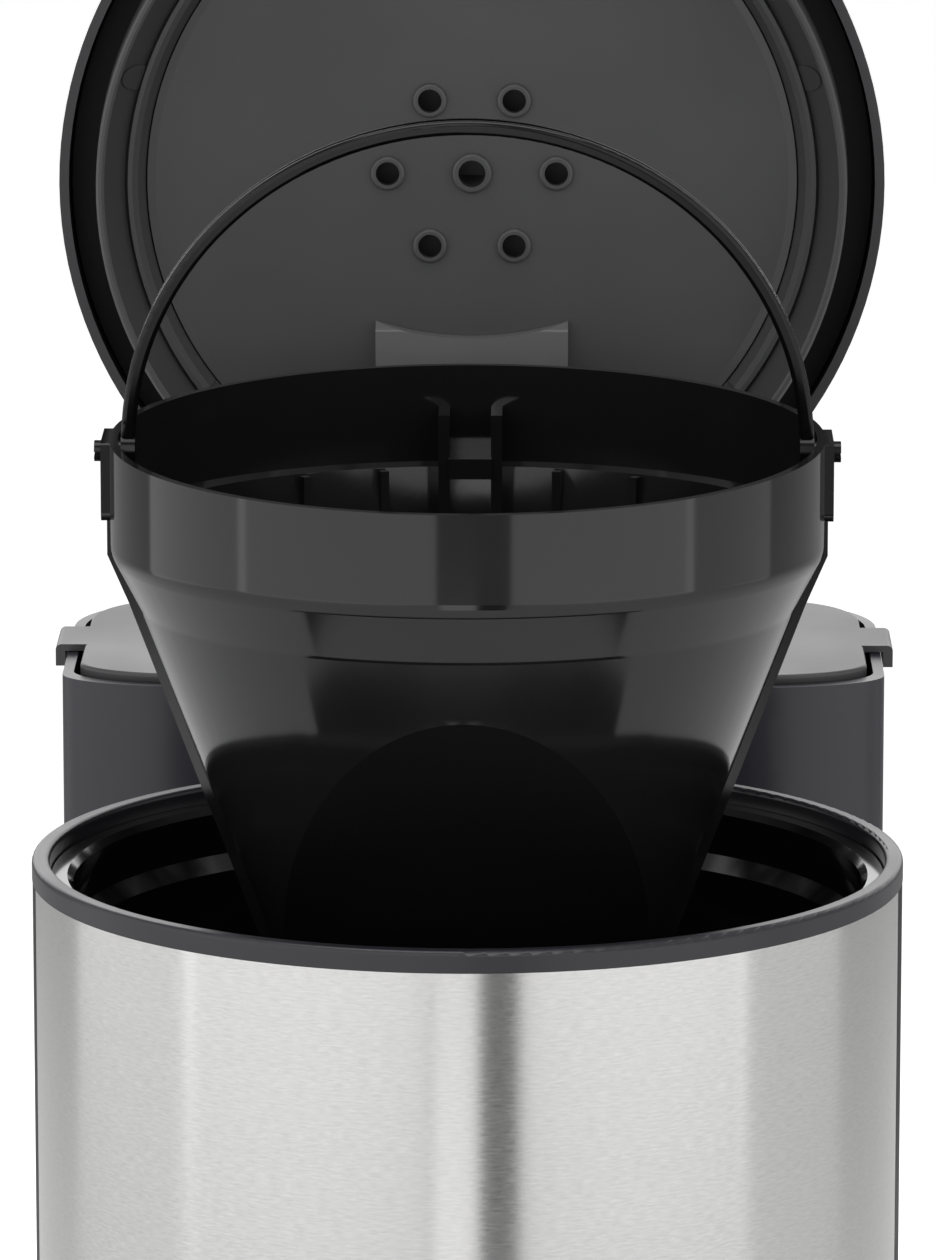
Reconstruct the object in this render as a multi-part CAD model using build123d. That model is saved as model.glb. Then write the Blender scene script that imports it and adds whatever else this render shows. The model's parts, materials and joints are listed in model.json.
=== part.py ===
from build123d import *
import math
import os

os.makedirs("parts", exist_ok=True)

# Drip coffee maker, in millimetres, standing on z = 0 with its front facing -Y.
# It is modelled about the brew axis (x = y = 0) and moved back by AXIS_Y when written,
# so that the origin is under the middle of the whole machine.
# The lid stands open, the filter basket is lifted out of the head and its bail stands up.

# Driving dimensions: the casing
BODY_R = 84.5            # plan radius of the base and half its width
BODY_BACK = 181.0        # rear face, behind the brew axis
BACK_CORNER = 22.0
WALL = 2.5
FOOT = 3.0
DECK = 38.0              # top of the base
BAY_TOP = 198.0          # underside of the brew head
BAY_R = 80.0             # hollow in the column that the jug stands in
COLUMN_FRONT = 58.0
RING_TOP = 340.0         # top of the satin ring round the brew head
HEAD_R = 82.8
STEEL_T = 0.7
STEEL_HALF = 79.4        # the steel covers this many degrees each side of the front
RING_R = 79.5            # inside of the ring
SPINE_HALF = 45.0
SPINE_BACK = 118.0

# Driving dimensions: the brew head and lid
MOUTH_R = 75.0
HINGE_Y = 100.5
HINGE_Z = RING_TOP + 16.6
LID_R = 82.0
LID_LIP = 1.9            # wall of the lid's outer cap
LID_H = 17.0
SKIRT_R = 74.2
SKIRT_DEPTH = 9.0
BEAD_R = 68.8
PLATE_R = 66.3
OPEN_ANGLE = 90.0
SPOUT_Y = 90.0           # where water passes from the spine into the lid
EAR_X = 36.0
COVER_HALF = 19.2        # half the width of the raised cover inside the lid
HOLE_PITCH = 16.8
HOLE_SHIFT = -1.6        # the spray holes sit a little in front of the lid's middle
EJECTOR_ANGLES = (-56, -18, 198, 236)

# Driving dimensions: the filter basket, above the ring's top while it is lifted
COLLAR_R = 67.5
COLLAR_IN = 65.9
COLLAR_FOOT = 59.0
SHOULDER = 48.6          # where the collar has drawn in to the cone
RIM_Z = 80.3
RIM_SLOPE = 0.0507
CONE_SLOPE = 0.38
FACE_SLOPE = 0.80
FLOOR_Z = -27.0
NOSE_Z = -41.0
BAIL_Z = 77.4
BAIL_R = 63.9
BAIL_LEAN = 13.0
BAIL_T = 2.8             # radial thickness of the bail
BAIL_WIDTH = 3.2
BAIL_LEG = 1.1

# Driving dimensions: the water tank
TANK_FRONT = 106.0
TANK_FLOOR = 200.0
TANK_WALL = 2.2
TANK_RIM = RING_TOP + 11.0
TANK_LID_TOP = 1.6       # how far the lid stands above the rim
TANK_TILT = 2.7          # degrees that the rim rises towards the back
NOTCH_HALF = 46.5
NOTCH_BACK = 120.0
OUTLET = (52.0, 146.0)

# Driving dimensions: the jug
JUG_R = 66.0
JUG_FOOT = 40.3
JUG_NECK = 46.0
JUG_MOUTH_Z = 164.0
JUG_LID_TOP = 190.5
HANDLE_Y = -118.0

# The power button
BUTTON_Z = 20.5
BUTTON_R = 6.5

REAR_MOST = BODY_BACK + 4.0     # the heads of the back cover's screws
AXIS_Y = -(REAR_MOST + HANDLE_Y) / 2.0


# Small helpers

def rod(radius, z0, z1, x=0.0, y=0.0):
    return Pos(x, y, z0) * extrude(Circle(radius), z1 - z0)


def tube(outer, inner, z0, z1, x=0.0, y=0.0):
    return Pos(x, y, z0) * extrude(Circle(outer) - Circle(inner), z1 - z0)


def block(x0, x1, y0, y1, z0, z1):
    low = (Align.MIN, Align.MIN, Align.MIN)
    return Pos(x0, y0, z0) * Box(x1 - x0, y1 - y0, z1 - z0, align=low)


def turned(*points):
    outline = Plane.XZ * Polyline(*points, close=True)
    return revolve(make_face(outline), Axis.Z)


def bar_x(radius, x0, x1, y, z):
    return Pos(x0, y, z) * Rot(0, 90, 0) * extrude(Circle(radius), x1 - x0)


def bar_y(radius, y0, y1, x, z):
    return Pos(x, y0, z) * Rot(-90, 0, 0) * extrude(Circle(radius), y1 - y0)


def above(*points):
    """Points whose heights are given above the ring's top."""
    return [(r, RING_TOP + z) for r, z in points]


def both_sides(shape):
    return shape + mirror(shape, Plane.YZ)


def on_tilt(shape):
    """Tip something level with the tank's front rim into the rim's sloping plane."""
    return shape.rotate(Axis((0, TANK_FRONT, TANK_RIM), (1, 0, 0)), TANK_TILT)


def opened(shape):
    """Swing a lid piece from closed to standing open."""
    return shape.rotate(Axis((0, HINGE_Y, HINGE_Z), (1, 0, 0)), -OPEN_ANGLE)


def body_plan(inset=0.0):
    radius = BODY_R - inset
    back = BODY_BACK - inset
    plan = Circle(radius) + Pos(0, back / 2) * Rectangle(2 * radius, back)
    return fillet(plan.vertices().group_by(Axis.Y)[-1], BACK_CORNER - inset)


def save(name, shape):
    if isinstance(shape, (list, tuple)):
        shape = Compound(children=[piece for piece in shape])
    export_step(Pos(0, AXIS_Y, 0) * shape, f"parts/{name}.step")


def screw(length, shank=1.5, head=3.0):
    """A pan-head screw standing head down on z = 0, with a hexagon socket in its head."""
    body = rod(head, 0, 2.0) + rod(shank, 1.0, length)
    body = fillet(body.edges().filter_by(GeomType.CIRCLE).group_by(Axis.Z)[0], 0.6)
    return body - extrude(RegularPolygon(1.4, 6), 1.2)


def wire_coil(radius, wire, pitch, height, z0, x=0.0, y=0.0):
    path = Helix(pitch, height, radius)
    section = Plane(path @ 0, z_dir=path % 0) * Circle(wire)
    return Pos(x, y, z0) * sweep(section, path=path, is_frenet=True)


# Base

def base_shell():
    shell = Pos(0, 0, FOOT) * extrude(body_plan(), DECK - FOOT)
    shell = fillet(shell.edges().group_by(Axis.Z)[-1], 3.0)
    shell -= Pos(0, 0, FOOT - 1) * extrude(body_plan(WALL), DECK - FOOT - WALL + 1)
    shell -= rod(66.8, DECK - 5, DECK + 1)
    shell -= block(-44, 54, 88, 160, DECK - 5, DECK + 1)
    shell -= bar_y(10.0, -BODY_R - 2, -BODY_R + 8, 0, BUTTON_Z)
    shell -= bar_y(7.2, BODY_BACK - 8, BODY_BACK + 2, -55, 18)
    for x, y in base_posts():
        shell += tube(4.0, 1.6, FOOT + 2.6, DECK - WALL, x, y)
    return shell


def base_posts():
    return [(-70, 20), (70, 20), (-66, 160), (66, 160)]


def base_cover():
    cover = Pos(0, 0, FOOT) * extrude(body_plan(WALL + 0.3), 2.4)
    for x, y in base_posts():
        cover -= rod(1.8, FOOT - 1, FOOT + 4, x, y)
        cover -= rod(3.4, FOOT - 1, FOOT + 1.4, x, y)
    for k in range(-3, 4):
        cover -= block(k * 9 - 2, k * 9 + 2, 100, 128, FOOT - 1, FOOT + 4)
    return cover


def feet():
    foot = rod(9.0, 0, FOOT)
    foot = fillet(foot.edges().group_by(Axis.Z)[0], 1.0)
    places = [(-52, -46), (52, -46), (-58, 140), (58, 140)]
    return [Pos(x, y, 0) * foot for x, y in places]


def base_screws():
    return [Pos(x, y, FOOT - 0.7) * screw(15, 1.45, 3.0) for x, y in base_posts()]


def warming_plate():
    plate = turned((0, DECK), (61.5, DECK), (61.5, DECK - 1.6), (63.8, DECK - 1.6),
                   (63.8, DECK + 0.8), (62.6, DECK + 2.0), (0, DECK + 2.0))
    return plate


def plate_seal():
    return turned((61.7, DECK - 3.4), (66.6, DECK - 3.4), (66.6, DECK), (67.8, DECK + 0.1),
                  (67.8, DECK + 0.9), (64.1, DECK + 1.2), (64.1, DECK - 1.8), (61.7, DECK - 1.8))


def heater_tube():
    """An aluminium tube bent to a C under the warming plate, with both ends to the rear."""
    ring = Pos(0, 0, DECK - 7.0) * Edge.make_circle(
        44.0, start_angle=108, end_angle=72, angular_direction=AngularDirection.COUNTER_CLOCKWISE)
    start = Plane(ring @ 0, z_dir=ring % 0)
    return sweep(start * Circle(6.2), path=ring) - sweep(start * Circle(4.2), path=ring)


def thermostat():
    body = rod(8.0, DECK - 20, DECK - 13.4, -44, 0)
    tabs = block(-50, -38, -12, 12, DECK - 14.4, DECK - 13.4)
    blades = block(-47, -46.2, -3, 3, DECK - 27, DECK - 20) + block(-42, -41.2, -3, 3, DECK - 27, DECK - 20)
    return body + tabs + blades


def thermal_fuses():
    fuse = bar_y(2.0, -8, 8, 44, DECK - 15.6)
    return [fuse, Pos(-6, 0, 0) * bar_y(2.0, -8, 8, 44, DECK - 15.6)]


def circuit_board():
    board = block(-26, 26, -72, -46, 10, 11.6)
    parts = block(-20, -8, -62, -50, 11.6, 20) + rod(4.0, 11.6, 22, 12, -54)
    switch = block(-3.5, 3.5, -72, -66, 11.6, BUTTON_Z + 3)
    return board + parts + switch


def power_button():
    cap = bar_y(BUTTON_R, -BODY_R - 1.6, -BODY_R + 1.6, 0, BUTTON_Z)
    cap = fillet(cap.edges().filter_by(GeomType.CIRCLE).group_by(Axis.Y)[0], 0.9)
    return cap + bar_y(1.6, -BODY_R + 1.5, -BODY_R + 10.0, 0, BUTTON_Z)


def light_ring():
    ring = bar_y(9.8, -BODY_R - 0.9, -BODY_R + 6.5, 0, BUTTON_Z)
    ring -= bar_y(BUTTON_R + 0.3, -BODY_R - 2, -BODY_R + 4.5, 0, BUTTON_Z)
    ring -= bar_y(4.6, -BODY_R - 2, -BODY_R + 8, 0, BUTTON_Z)
    return fillet(ring.edges().filter_by(GeomType.CIRCLE).group_by(Axis.Y)[0], 0.4)


def button_spring():
    coil = wire_coil(3.0, 0.3, 1.0, 2.4, 0)
    return Pos(0, -BODY_R + 1.9, BUTTON_Z) * Rot(-90, 0, 0) * coil


def cord_gland():
    gland = bar_y(7.1, BODY_BACK - 4, BODY_BACK + 1, -55, 18)
    gland += bar_y(9.0, BODY_BACK + 0.1, BODY_BACK + 3, -55, 18)
    gland += bar_y(9.0, BODY_BACK - 4.6, BODY_BACK - 2.6, -55, 18)
    return gland - bar_y(3.4, BODY_BACK - 6, BODY_BACK + 4, -55, 18)


# Column behind the jug, and the spine that carries the lid

def column_plan(inset=0.0):
    plan = body_plan(inset) & (Pos(0, 120 + inset) * Rectangle(200, 2 * (120 - COLUMN_FRONT)))
    return plan - Circle(BAY_R + inset)


def column_shell():
    shell = Pos(0, 0, DECK) * extrude(column_plan(), BAY_TOP - DECK)
    front = shell.edges().filter_by(Axis.Z).group_by(Axis.Y)[0]
    shell = fillet(front, 5.0)
    shell -= Pos(0, 0, DECK - 1) * extrude(column_plan(WALL), BAY_TOP - DECK - WALL + 1)
    shell -= block(-58, 58, BODY_BACK - 4, BODY_BACK + 1, DECK + 8, BAY_TOP - 12)
    shell -= rod(8.3, BAY_TOP - 4, BAY_TOP + 1, *OUTLET)
    shell -= block(-SPINE_HALF + WALL, SPINE_HALF - WALL, 87, SPINE_BACK - WALL, BAY_TOP - 4, BAY_TOP + 1)
    for x in (-63, 63):
        for z in (DECK + 16, BAY_TOP - 20):
            shell += tube_y(3.6, 1.5, BODY_BACK - 10, BODY_BACK - WALL, x, z)
            shell -= bar_y(1.5, BODY_BACK - 9, BODY_BACK + 1, x, z)
    return shell


def tube_y(outer, inner, y0, y1, x, z):
    return bar_y(outer, y0, y1, x, z) - bar_y(inner, y0 - 1, y1 + 1, x, z)


def back_cover():
    cover = block(-70, 70, BODY_BACK, BODY_BACK + 2.0, DECK + 3, BAY_TOP - 6)
    cover = fillet(cover.edges().filter_by(Axis.Y), 8.0)
    cover = fillet(cover.faces().sort_by(Axis.Y)[-1].edges(), 0.9)
    for k in range(7):
        z = DECK + 46 + k * 8
        cover -= block(-30, 30, BODY_BACK - 1, BODY_BACK + 3, z, z + 3)
    for x in (-63, 63):
        for z in (DECK + 16, BAY_TOP - 20):
            cover -= bar_y(1.8, BODY_BACK - 1, BODY_BACK + 3, x, z)
    return cover


def cover_screws():
    one = Rot(90, 0, 0) * screw(10, 1.45, 2.9)
    return [Pos(x, BODY_BACK + 4.0, z) * one
            for x in (-63, 63) for z in (DECK + 16, BAY_TOP - 20)]


def spine():
    """The hollow upright behind the brew head, with two ears for the lid's hinge pins."""
    outer = block(-SPINE_HALF, SPINE_HALF, 60, SPINE_BACK, BAY_TOP, RING_TOP + 4)
    outer = fillet(outer.edges().filter_by(Axis.Z).group_by(Axis.Y)[-1], 4.0)
    shell = outer - rod(HEAD_R + 0.1, BAY_TOP - 1, RING_TOP + 5)
    hollow = block(-SPINE_HALF + WALL, SPINE_HALF - WALL, 60, SPINE_BACK - WALL, BAY_TOP - 1, RING_TOP + 1.5)
    shell -= hollow - rod(HEAD_R + 2.4, BAY_TOP - 2, RING_TOP + 5)
    shell -= rod(5.0, RING_TOP, RING_TOP + 5, 0, SPOUT_Y)
    for side in (-1, 1):
        ear = block(-4.2, 4.2, 93.5, 107.5, RING_TOP + 3, HINGE_Z)
        ear += bar_x(7.0, -4.2, 4.2, HINGE_Y, HINGE_Z)
        shell += Pos(side * EAR_X, 0, 0) * ear
    return shell - bar_x(2.5, -50, 50, HINGE_Y, HINGE_Z)


def hinge_pins():
    pin = bar_x(2.45, 25.0, 40.0, HINGE_Y, HINGE_Z) + bar_x(3.4, 40.25, 41.2, HINGE_Y, HINGE_Z)
    return [pin + bar_x(2.45, 39.9, 40.4, HINGE_Y, HINGE_Z),
            mirror(pin + bar_x(2.45, 39.9, 40.4, HINGE_Y, HINGE_Z), Plane.YZ)]


# Water path

def tank_socket():
    x, y = OUTLET
    socket = tube(8.2, 6.2, BAY_TOP - 16, BAY_TOP, x, y) + tube(12.0, 6.2, BAY_TOP - 4.4, BAY_TOP - 2.6, x, y)
    socket += tube(5.0, 3.4, BAY_TOP - 28, BAY_TOP - 15, x, y)
    socket += tube(8.2, 3.4, BAY_TOP - 17, BAY_TOP - 15, x, y)
    return socket


def socket_seal():
    return tube(11.0, 8.4, BAY_TOP + 0.1, BAY_TOP + 1.6, *OUTLET)


def soft_tube(outer, inner, points, radii):
    path = FilletPolyline(*points, radius=radii)
    start = Plane(path @ 0, z_dir=path % 0)
    return sweep(start * Circle(outer), path=path) - sweep(start * Circle(inner), path=path)


def inlet_hose():
    x, y = OUTLET
    points = [(x, y, BAY_TOP - 29), (x, y, 60), (x - 24, y - 36, 22), (13.6, 66, 22)]
    return soft_tube(5.0, 3.4, points, [24.0, 14.0])


def check_valve():
    x, y = OUTLET
    return tube(7.0, 5.15, 118, 132, x, y)


def riser_tube():
    points = [(-13.6, 66, 22), (-22, 96, 24), (-22, 100, 80), (-22, 100, 308), (0, SPOUT_Y, 326),
              (0, SPOUT_Y, RING_TOP + 1.4)]
    return soft_tube(4.4, 3.0, points, [14.0, 24.0, 12.0, 9.0])


def hose_clips():
    x, y = OUTLET
    return [tube(6.4, 5.1, 160, 165, x, y), tube(6.4, 5.1, 100, 105, x, y),
            tube(5.8, 4.5, 200, 205, -22, 100)]


def water_spout():
    return tube(4.6, 3.0, RING_TOP + 1.6, RING_TOP + 4.6, 0, SPOUT_Y)


# Brew head

def head_shell():
    shell = turned((HEAD_R, BAY_TOP), (HEAD_R, RING_TOP - 4), (RING_R, RING_TOP - 4),
                   (RING_R, RING_TOP - 6.2), (77.3, RING_TOP - 6.2), (77.3, RING_TOP - 9),
                   (RING_R, RING_TOP - 12), (RING_R, BAY_TOP + 2.6), (17.5, BAY_TOP + 2.6),
                   (17.5, BAY_TOP))
    groove = tube(HEAD_R + 1, HEAD_R - STEEL_T - 0.05, BAY_TOP + 1.6, RING_TOP - 3.9)
    return shell - (groove & front_wedge(STEEL_HALF + 0.25))


def front_wedge(half, reach=130.0):
    """A tall wedge about the brew axis that opens to the front, half degrees each side."""
    angle = math.radians(half)
    side = (reach * math.sin(angle), -reach * math.cos(angle))
    fan = make_face(Polyline((0, 0), side, (side[0], -reach), (-side[0], -reach), (-side[0], side[1]),
                             close=True))
    return Pos(0, 0, BAY_TOP - 10) * extrude(fan, RING_TOP - BAY_TOP + 30)


def steel_jacket():
    skin = tube(HEAD_R, HEAD_R - STEEL_T, BAY_TOP + 1.8, RING_TOP - 4.1)
    return skin & front_wedge(STEEL_HALF)


def top_ring():
    ring = tube(HEAD_R + 0.1, RING_R, RING_TOP - 4, RING_TOP)
    edges = ring.edges().filter_by(GeomType.CIRCLE).group_by(Axis.Z)[-1]
    return fillet(edges, 0.9)


def funnel():
    """The liner of the brew head: a flange, a round mouth, and a cone the basket drops into."""
    outline = above((79.2, -6.1), (79.2, -3.5), (MOUTH_R + 1.2, -3.5), (MOUTH_R, -4.7),
                    (MOUTH_R, -13), (72.8, -16), (72.8, -48), (69.4, -50.5), (36.0, -137),
                    (16.2, -137), (16.2, -139), (37.0, -139), (71.2, -51.8), (74.8, -48.6),
                    (74.8, -15), (77.0, -12), (77.0, -6.1))
    liner = turned(*outline)
    return liner


# Lid, modelled shut and then swung open

def lid_cap():
    """The outer cap with its neck and hinge barrel."""
    top = LID_H
    outline = above((LID_R, 0.5), (LID_R, top - 6), (LID_R - 1.2, top - 3), (LID_R - 5.5, top - 0.6),
                    (60, top), (0, top + 0.6), (0, top - 1.8), (60, top - 2.4),
                    (LID_R - 6, top - 3.2), (LID_R - LID_LIP, top - 6.5), (LID_R - LID_LIP, 0.5))
    cap = turned(*outline)
    neck = block(-33, 33, 74, HINGE_Y, RING_TOP + 5, RING_TOP + LID_H)
    neck = fillet(neck.edges().filter_by(Axis.Y).group_by(Axis.Z)[-1], 5.0)
    neck -= rod(LID_R - LID_LIP, RING_TOP, RING_TOP + LID_H + 2)
    neck += bar_x(6.0, -31.4, 31.4, HINGE_Y, HINGE_Z)
    neck -= block(-31.4, 31.4, 70, 92, RING_TOP + 7.2, RING_TOP + 14.4)
    neck -= rod(6.0, RING_TOP + 2, RING_TOP + 9, 0, SPOUT_Y)
    neck -= rod(7.6, RING_TOP + 7.2, RING_TOP + 9, 0, SPOUT_Y)
    cap = cap + neck - block(-24, 24, 74, 90, RING_TOP + 7.2, RING_TOP + 14.0)
    for side in (-1, 1):
        cap -= Pos(side * EAR_X, 0, 0) * block(-4.6, 4.6, 92.8, 109, RING_TOP - 1, RING_TOP + 30)
        cap -= bar_x(2.5, side * 28 - 4.5, side * 28 + 4.5, HINGE_Y, HINGE_Z)
    return opened(cap)


def lid_liner():
    """The inner ring of the lid: a drafted skirt, a stepped bead and a flange up in the cap."""
    low = -SKIRT_DEPTH
    outline = above((79.6, 5.0), (79.6, 6.8), (65.0, 6.8), (65.0, 4.8), (66.4, 1.6), (67.5, 0.4),
                    (BEAD_R - 0.4, 0.4), (BEAD_R, 1.4), (SKIRT_R - 1.6, low + 0.5),
                    (SKIRT_R - 1.1, low), (SKIRT_R - 0.5, low), (SKIRT_R, low + 0.5), (74.9, 5.0))
    liner = turned(*outline)
    rear = Rot(0, 0, 180) * front_wedge(52.0)
    rear -= rod(60.0, BAY_TOP - 20, RING_TOP + 60)
    liner -= rear & block(-90, 90, 0, 90, RING_TOP - 20, RING_TOP + 4.9)
    proud = turned(*above((BEAD_R - 0.1, 0.8), (SKIRT_R - 2.0, low + 0.9), (SKIRT_R - 1.2, low + 0.9),
                          (BEAD_R + 0.6, 0.8)))
    for angle in EJECTOR_ANGLES:
        mark = rod(2.6, RING_TOP + low, RING_TOP + 2, BEAD_R + 0.8)
        liner += mark.rotate(Axis.Z, angle) & proud
    return opened(liner)


def spray_holes():
    """Places of the spray holes: one in the middle and six on a hexagon, with pore and collar radii."""
    holes = [(0.0, HOLE_SHIFT, 2.7, 4.0)]
    for k in range(6):
        angle = math.radians(60 * k)
        holes.append((HOLE_PITCH * math.cos(angle), HOLE_SHIFT + HOLE_PITCH * math.sin(angle), 2.35, 3.45))
    return holes


def shower_plate():
    plate = turned(*above((0, 7.4), (PLATE_R - 1.6, 6.1), (PLATE_R - 1.6, 4.7), (PLATE_R - 3.2, 4.9),
                          (0, 5.9)))
    for x, y, pore, collar in spray_holes():
        rim = rod(collar, RING_TOP + 4.5, RING_TOP + 6.4, x, y)
        plate += fillet(rim.edges().group_by(Axis.Z)[0], 0.55)
        plate -= rod(pore, RING_TOP + 3, RING_TOP + 9, x, y)
    return opened(plate)


def channel_cover():
    """The raised cover over the water inlet: hollow front edge, thinning towards the hinge."""
    side = make_face(Plane.YZ * Polyline((27.5, RING_TOP + 5.0), (29.4, RING_TOP + 0.9),
                                         (41.0, RING_TOP + 1.8), (51.0, RING_TOP + 4.4),
                                         (62.5, RING_TOP + 4.8), close=True))
    cover = Pos(-COVER_HALF, 0, 0) * extrude(side, 2 * COVER_HALF, dir=(1, 0, 0))
    cover -= rod(61.7, RING_TOP - 6, RING_TOP + 8, 0, -30.7)
    front = cover.edges().group_by(Axis.Z)[0]
    return opened(fillet(front, 0.5))


def water_channel():
    channel = block(-9, 9, 18, 86, RING_TOP + 8.2, RING_TOP + 13.2)
    channel = fillet(channel.edges().filter_by(Axis.Z), 3.0)
    channel -= block(-7.4, 7.4, 20, 84, RING_TOP + 7, RING_TOP + 11.8)
    return opened(channel)


def inlet_seal():
    seal = tube(5.9, 3.6, RING_TOP + 5.2, RING_TOP + 7.6, 0, SPOUT_Y)
    return opened(seal + tube(7.4, 3.6, RING_TOP + 7.3, RING_TOP + 8.1, 0, SPOUT_Y))


def lid_screws():
    one = screw(6.0, 1.2, 2.2)
    in_place = Pos(69.8, 0, RING_TOP + 6.9) * one
    return [opened(in_place.rotate(Axis.Z, angle)) for angle in (20, 160, 200, 340)]


# Filter basket, modelled lifted out

def basket_z(height):
    return RING_TOP + height


def over_rim(height):
    """Everything above a plane parallel to the basket's sloping rim."""
    tilt = math.degrees(math.atan(RIM_SLOPE))
    low = (Align.CENTER, Align.CENTER, Align.MIN)
    return Pos(0, 0, basket_z(height)) * Rot(tilt, 0, 0) * Box(200, 200, 60, align=low)


def cone_radius(height):
    return 62.2 - CONE_SLOPE * (48.6 - height)


def beyond_faces(inset):
    """The wedges in front of and behind the basket's flat faces."""
    foot = 36.5
    y_top = -57.6 + inset
    rise = 40.0
    drop = foot - (FLOOR_Z - 20)
    outline = Polyline((y_top - rise * FACE_SLOPE, basket_z(foot + rise)),
                       (y_top + drop * FACE_SLOPE, basket_z(foot - drop)),
                       (-140, basket_z(foot - drop)), (-140, basket_z(foot + rise)), close=True)
    wedge = Pos(-100, 0, 0) * extrude(make_face(Plane.YZ * outline), 200, dir=(1, 0, 0))
    return wedge


def basket():
    outline = make_face(Plane.XZ * Polyline(*above((0, 95), (COLLAR_R, 95), (COLLAR_R, COLLAR_FOOT),
                                                   (cone_radius(SHOULDER), SHOULDER),
                                                   (cone_radius(FLOOR_Z), FLOOR_Z), (0, FLOOR_Z)),
                                            close=True))
    bends = [v for v in outline.vertices() if SHOULDER - 1 < v.Z - RING_TOP < COLLAR_FOOT + 1]
    outer = revolve(fillet(bends, 6.0), Axis.Z)
    cut = beyond_faces(0.0)
    outer -= cut + mirror(cut, Plane.XZ)
    outer += rod(13.0, basket_z(NOSE_Z), basket_z(-14))
    rail = make_face(Plane.XZ * Polyline(*above((60, 78), (68.0, 78), (68.0, 58), (63.9, 48.6),
                                                (35.2, FLOOR_Z), (28, FLOOR_Z), (55, 48.6)),
                                         close=True))
    rail = Pos(0, 3, 0) * extrude(rail, 6, dir=(0, -1, 0))
    boss = block(60, 68.9, -7, 7, basket_z(65), basket_z(81))
    boss = fillet(boss.edges().filter_by(Axis.X), 1.6)
    outer += both_sides(rail + boss)
    inner = turned(*above((0, 99), (COLLAR_IN, 99), (COLLAR_IN, 64.6), (62.8, 64), (60.4, 48.6),
                          (cone_radius(-24) - 1.9, -24.8), (0, -24.8)))
    cut = beyond_faces(2.3)
    inner -= cut + mirror(cut, Plane.XZ)
    body = outer - inner
    body -= rod(9.0, basket_z(-29), basket_z(-20))
    body -= rod(4.5, basket_z(-34), basket_z(-20))
    body -= rod(10.2, basket_z(NOSE_Z) - 1, basket_z(-31))
    body += basket_back()
    body -= over_rim(RIM_Z)
    body -= bar_x(2.1, -75, 75, 0, basket_z(BAIL_Z))
    return body


def basket_back():
    """Fins, a catch block and short ribs on the inside of the basket's back."""
    ribs = both_sides(block(4.05, 6.25, 54.0, 66.4, basket_z(50), basket_z(75.5)))
    ribs += block(-4.2, 4.2, 53.0, 66.4, basket_z(63), basket_z(67))
    for angle in (58.5, 74, 106, 121.5):
        rib = block(60.8, 66.2, -0.8, 0.8, basket_z(50), basket_z(63.6))
        ribs += rib.rotate(Axis.Z, angle)
    return ribs - tube(90, COLLAR_R - 0.5, basket_z(40), basket_z(90))


def bail_handle():
    """A rounded half-round arch on short legs, grooved outside, with a snap pin at each end."""
    outer = BAIL_R + 1.4
    half = BAIL_WIDTH / 2.0
    arch = tube(outer, outer - BAIL_T, -half, half)
    arch = fillet(arch.edges().filter_by(GeomType.CIRCLE), 0.9)
    arch -= tube(outer + 1, outer - 0.5, -0.5, 0.5)
    arch = Pos(0, 0, BAIL_LEG) * Rot(90, 0, 0) * (arch & block(-90, 90, 0, 90, -5, 5))
    leg = block(outer - BAIL_T, outer, -half, half, 0, BAIL_LEG + 0.1)
    leg = fillet(leg.edges().filter_by(Axis.Z), 0.85)
    end = bar_x(3.4, BAIL_R - 1.3, outer, 0, 0) + bar_x(2.0, BAIL_R, 70.4, 0, 0)
    end -= block(66, 72, -3, 3, -0.5, 0.5)
    handle = arch + both_sides(end + leg)
    return Pos(0, 0, basket_z(BAIL_Z)) * handle.rotate(Axis.X, BAIL_LEAN)


def drip_plunger():
    stem = rod(3.0, basket_z(-42.8), basket_z(-26.8))
    foot = rod(8.0, basket_z(-43.0), basket_z(-41.5))
    return stem + foot + rod(8.0, basket_z(-28.4), basket_z(-26.6))


def drip_seal():
    return tube(7.8, 4.8, basket_z(-28.95), basket_z(-28.45))


def drip_spring():
    return wire_coil(5.4, 0.4, 2.4, 9.2, basket_z(-40.9))


# Water tank

def tank_plan(inset=0.0):
    side = BODY_R - inset
    front = TANK_FRONT + inset
    back = BODY_BACK - inset
    half = NOTCH_HALF + inset
    notch = NOTCH_BACK + inset
    sweep_x = 28.0 - inset
    sweep_y = 11.0
    outline = [Line((half, front), (side - sweep_x, front)),
               EllipticalCenterArc((side - sweep_x, front + sweep_y), sweep_x, sweep_y,
                                   start_angle=270, arc_size=90),
               Line((side, front + sweep_y), (side, back)),
               Line((side, back), (-side, back)),
               Line((-side, back), (-side, front + sweep_y)),
               EllipticalCenterArc((-side + sweep_x, front + sweep_y), sweep_x, sweep_y,
                                   start_angle=180, arc_size=90),
               Line((-side + sweep_x, front), (-half, front)),
               Line((-half, front), (-half, notch)), Line((-half, notch), (half, notch)),
               Line((half, notch), (half, front))]
    plan = make_face(outline)
    rear = [v for v in plan.vertices() if v.Y > back - 1]
    return fillet(rear, BACK_CORNER - inset)


def above_tank(height):
    low = (Align.CENTER, Align.CENTER, Align.MIN)
    slab = Pos(0, TANK_FRONT, TANK_RIM + height) * Box(220, 300, 60, align=low)
    return on_tilt(slab)


def tank():
    shell = Pos(0, 0, TANK_FLOOR) * extrude(tank_plan(), 165)
    shell -= Pos(0, 0, TANK_FLOOR + 2.6) * extrude(tank_plan(TANK_WALL), 165)
    shell -= above_tank(0)
    x, y = OUTLET
    shell += rod(5.9, TANK_FLOOR - 9, TANK_FLOOR + 1, x, y)
    shell -= rod(4.3, TANK_FLOOR - 10, TANK_FLOOR + 4, x, y)
    return shell - tube(9, 5.4, TANK_FLOOR - 6.2, TANK_FLOOR - 4.4, x, y)


def tank_seal():
    return tube(6.1, 5.4, TANK_FLOOR - 6.1, TANK_FLOOR - 4.5, *OUTLET)


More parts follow.
